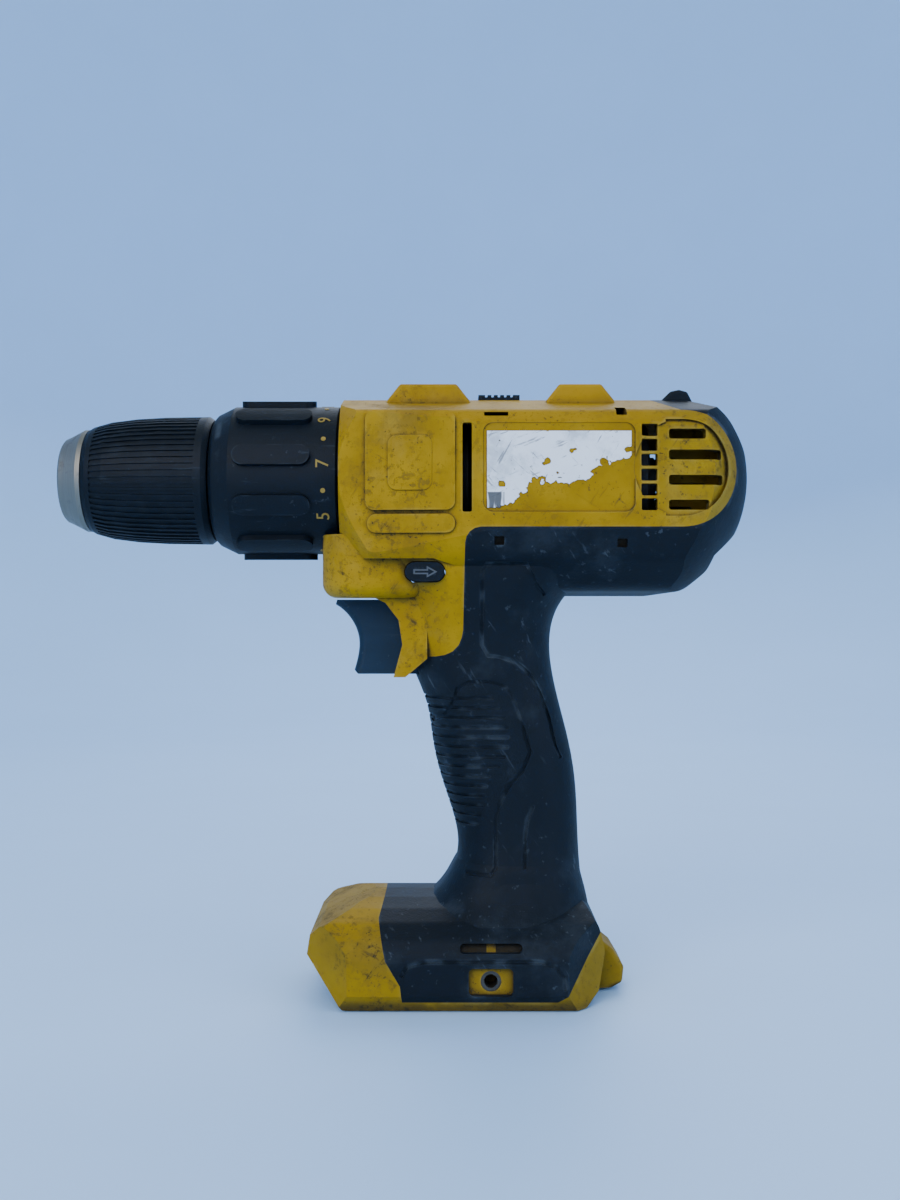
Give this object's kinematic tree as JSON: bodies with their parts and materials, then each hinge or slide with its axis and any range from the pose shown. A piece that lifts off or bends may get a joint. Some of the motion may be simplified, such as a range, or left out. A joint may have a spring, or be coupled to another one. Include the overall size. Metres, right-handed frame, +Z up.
{
  "type": "cordless drill driver",
  "caption": "Pistol-grip cordless drill driver with keyless chuck, numbered torque collar, speed selector, trigger, rubber grip and a battery slot in its foot.",
  "frame": {"origin": "middle of the resting face of the foot, at the mouth of the battery slot", "axes": "-X forwards out of the chuck, +Z up from the foot to the head, +Y to the tool's right"},
  "size_m": [0.2158, 0.066, 0.1893],
  "materials": {
    "yellow_plastic": "satin, scuffed",
    "black_rubber": "matt, worn",
    "label": "worn paper label",
    "black_plastic": "satin",
    "steel": "machined",
    "dark_core": "matt",
    "brass": "plain",
    "wire": "insulated wire",
    "clear_plastic": "clear"
  },
  "bodies": {
    "housing": {"left_housing": "yellow_plastic", "right_housing": "yellow_plastic", "left_overmould": "black_rubber", "right_overmould": "black_rubber", "side_labels": "label", "switch_module": "black_plastic", "terminal_block": "black_plastic", "end_bell": "black_plastic", "gear_case": "black_plastic", "housing_screws": "steel", "spindle_bearings": "steel", "clutch_pins": "steel", "clutch_washer": "steel", "clutch_spring": "steel", "ring_gear_1": "steel", "ring_gear_3": "steel", "motor_plate": "steel", "motor_can": "steel", "motor_bearings": "steel", "trigger_spring": "steel", "motor_magnets": "dark_core", "motor_brushes": "dark_core", "hook_inserts": "brass", "terminal_blades": "brass", "leads": "wire", "led_lens": "clear_plastic"},
    "rotor": {"motor_shaft": "steel", "motor_pinion": "steel", "rotor_core": "steel", "rotor_windings": "brass", "commutator": "brass", "motor_fan": "black_plastic"},
    "carrier_1": {"carrier_1": "steel"},
    "carrier_2": {"carrier_2": "steel"},
    "spindle": {"spindle": "steel", "chuck_body": "steel", "chuck_nose": "steel", "chuck_screw": "steel"},
    "chuck_sleeve": {"chuck_sleeve": "black_plastic", "chuck_nut": "steel"},
    "jaw_1": {"jaw_1": "steel"},
    "jaw_2": {"jaw_2": "steel"},
    "jaw_3": {"jaw_3": "steel"},
    "clutch_collar": {"clutch_collar": "black_plastic"},
    "clutch_nut": {"clutch_nut": "black_plastic"},
    "trigger": {"trigger": "black_plastic"},
    "direction_button": {"direction_button": "black_plastic"},
    "speed_selector": {"speed_selector": "black_plastic", "shift_fork": "steel", "ring_gear_2": "steel"},
    "planet_1_1": {"planet_1_1": "steel"},
    "planet_1_2": {"planet_1_2": "steel"},
    "planet_1_3": {"planet_1_3": "steel"},
    "planet_2_1": {"planet_2_1": "steel"},
    "planet_2_2": {"planet_2_2": "steel"},
    "planet_2_3": {"planet_2_3": "steel"},
    "planet_3_1": {"planet_3_1": "steel"},
    "planet_3_2": {"planet_3_2": "steel"},
    "planet_3_3": {"planet_3_3": "steel"}
  },
  "joints": [
    {"name": "rotor_spin", "type": "hinge", "parent": "housing", "child": "rotor", "pos_m": [0.028, 0, 0.16], "axis": [-1, 0, 0], "continuous": true},
    {"name": "carrier_1_spin", "type": "hinge", "parent": "housing", "child": "carrier_1", "pos_m": [-0.0104, 0, 0.16], "axis": [-1, 0, 0], "continuous": true},
    {"name": "carrier_2_spin", "type": "hinge", "parent": "housing", "child": "carrier_2", "pos_m": [-0.0202, 0, 0.16], "axis": [-1, 0, 0], "continuous": true},
    {"name": "spindle_spin", "type": "hinge", "parent": "housing", "child": "spindle", "pos_m": [-0.03, 0, 0.16], "axis": [-1, 0, 0], "continuous": true},
    {"name": "planet_1_1_spin", "type": "hinge", "parent": "carrier_1", "child": "planet_1_1", "pos_m": [-0.0055, 0.01238, 0.16], "axis": [-1, 0, 0], "continuous": true},
    {"name": "planet_1_2_spin", "type": "hinge", "parent": "carrier_1", "child": "planet_1_2", "pos_m": [-0.0055, -0.00619, 0.17072], "axis": [-1, 0, 0], "continuous": true},
    {"name": "planet_1_3_spin", "type": "hinge", "parent": "carrier_1", "child": "planet_1_3", "pos_m": [-0.0055, -0.00619, 0.14928], "axis": [-1, 0, 0], "continuous": true},
    {"name": "planet_2_1_spin", "type": "hinge", "parent": "carrier_2", "child": "planet_2_1", "pos_m": [-0.0153, 0.01238, 0.16], "axis": [-1, 0, 0], "continuous": true},
    {"name": "planet_2_2_spin", "type": "hinge", "parent": "carrier_2", "child": "planet_2_2", "pos_m": [-0.0153, -0.00619, 0.17072], "axis": [-1, 0, 0], "continuous": true},
    {"name": "planet_2_3_spin", "type": "hinge", "parent": "carrier_2", "child": "planet_2_3", "pos_m": [-0.0153, -0.00619, 0.14928], "axis": [-1, 0, 0], "continuous": true},
    {"name": "planet_3_1_spin", "type": "hinge", "parent": "spindle", "child": "planet_3_1", "pos_m": [-0.0251, 0.01238, 0.16], "axis": [-1, 0, 0], "continuous": true},
    {"name": "planet_3_2_spin", "type": "hinge", "parent": "spindle", "child": "planet_3_2", "pos_m": [-0.0251, -0.00619, 0.17072], "axis": [-1, 0, 0], "continuous": true},
    {"name": "planet_3_3_spin", "type": "hinge", "parent": "spindle", "child": "planet_3_3", "pos_m": [-0.0251, -0.00619, 0.14928], "axis": [-1, 0, 0], "continuous": true},
    {"name": "chuck_sleeve_turn", "type": "hinge", "parent": "spindle", "child": "chuck_sleeve", "pos_m": [-0.1, 0, 0.16], "axis": [-1, 0, 0], "range_deg": [0, 2520]},
    {"name": "jaw_1_slide", "type": "slide", "parent": "spindle", "child": "jaw_1", "axis": [-0.9613, 0, -0.2756], "range_m": [0, 0.0206]},
    {"name": "jaw_2_slide", "type": "slide", "parent": "spindle", "child": "jaw_2", "axis": [-0.9613, 0.2387, 0.1378], "range_m": [0, 0.0206]},
    {"name": "jaw_3_slide", "type": "slide", "parent": "spindle", "child": "jaw_3", "axis": [-0.9613, -0.2387, 0.1378], "range_m": [0, 0.0206]},
    {"name": "clutch_collar_turn", "type": "hinge", "parent": "housing", "child": "clutch_collar", "pos_m": [-0.06, 0, 0.16], "axis": [-1, 0, 0], "range_deg": [-200, 100]},
    {"name": "clutch_nut_slide", "type": "slide", "parent": "housing", "child": "clutch_nut", "axis": [1, 0, 0], "range_m": [-0.0043, 0.0022], "deforming": ["clutch_spring"]},
    {"name": "trigger_slide", "type": "slide", "parent": "housing", "child": "trigger", "axis": [1, 0, 0], "range_m": [0, 0.007], "stiffness_N_per_m": 800, "springref_m": -0.005, "deforming": ["trigger_spring"]},
    {"name": "direction_slide", "type": "slide", "parent": "housing", "child": "direction_button", "axis": [0, 1, 0], "range_m": [-0.003, 0.003]},
    {"name": "speed_selector_slide", "type": "slide", "parent": "housing", "child": "speed_selector", "axis": [1, 0, 0], "range_m": [0, 0.0044]}
  ],
  "couplings": [
    {"joint": "carrier_1_spin", "follows": "rotor_spin", "ratio": 0.27273},
    {"joint": "carrier_2_spin", "follows": "rotor_spin", "ratio": 0.07438},
    {"joint": "spindle_spin", "follows": "rotor_spin", "ratio": 0.020285},
    {"joint": "planet_1_1_spin", "follows": "rotor_spin", "ratio": -0.87273},
    {"joint": "planet_1_2_spin", "follows": "rotor_spin", "ratio": -0.87273},
    {"joint": "planet_1_3_spin", "follows": "rotor_spin", "ratio": -0.87273},
    {"joint": "planet_2_1_spin", "follows": "rotor_spin", "ratio": -0.23802},
    {"joint": "planet_2_2_spin", "follows": "rotor_spin", "ratio": -0.23802},
    {"joint": "planet_2_3_spin", "follows": "rotor_spin", "ratio": -0.23802},
    {"joint": "planet_3_1_spin", "follows": "rotor_spin", "ratio": -0.064914},
    {"joint": "planet_3_2_spin", "follows": "rotor_spin", "ratio": -0.064914},
    {"joint": "planet_3_3_spin", "follows": "rotor_spin", "ratio": -0.064914},
    {"joint": "jaw_1_slide", "follows": "chuck_sleeve_turn", "m_per_rad": 0.0004661},
    {"joint": "jaw_2_slide", "follows": "chuck_sleeve_turn", "m_per_rad": 0.0004661},
    {"joint": "jaw_3_slide", "follows": "chuck_sleeve_turn", "m_per_rad": 0.0004661},
    {"joint": "clutch_nut_slide", "follows": "clutch_collar_turn", "m_per_rad": 0.0012}
  ]
}
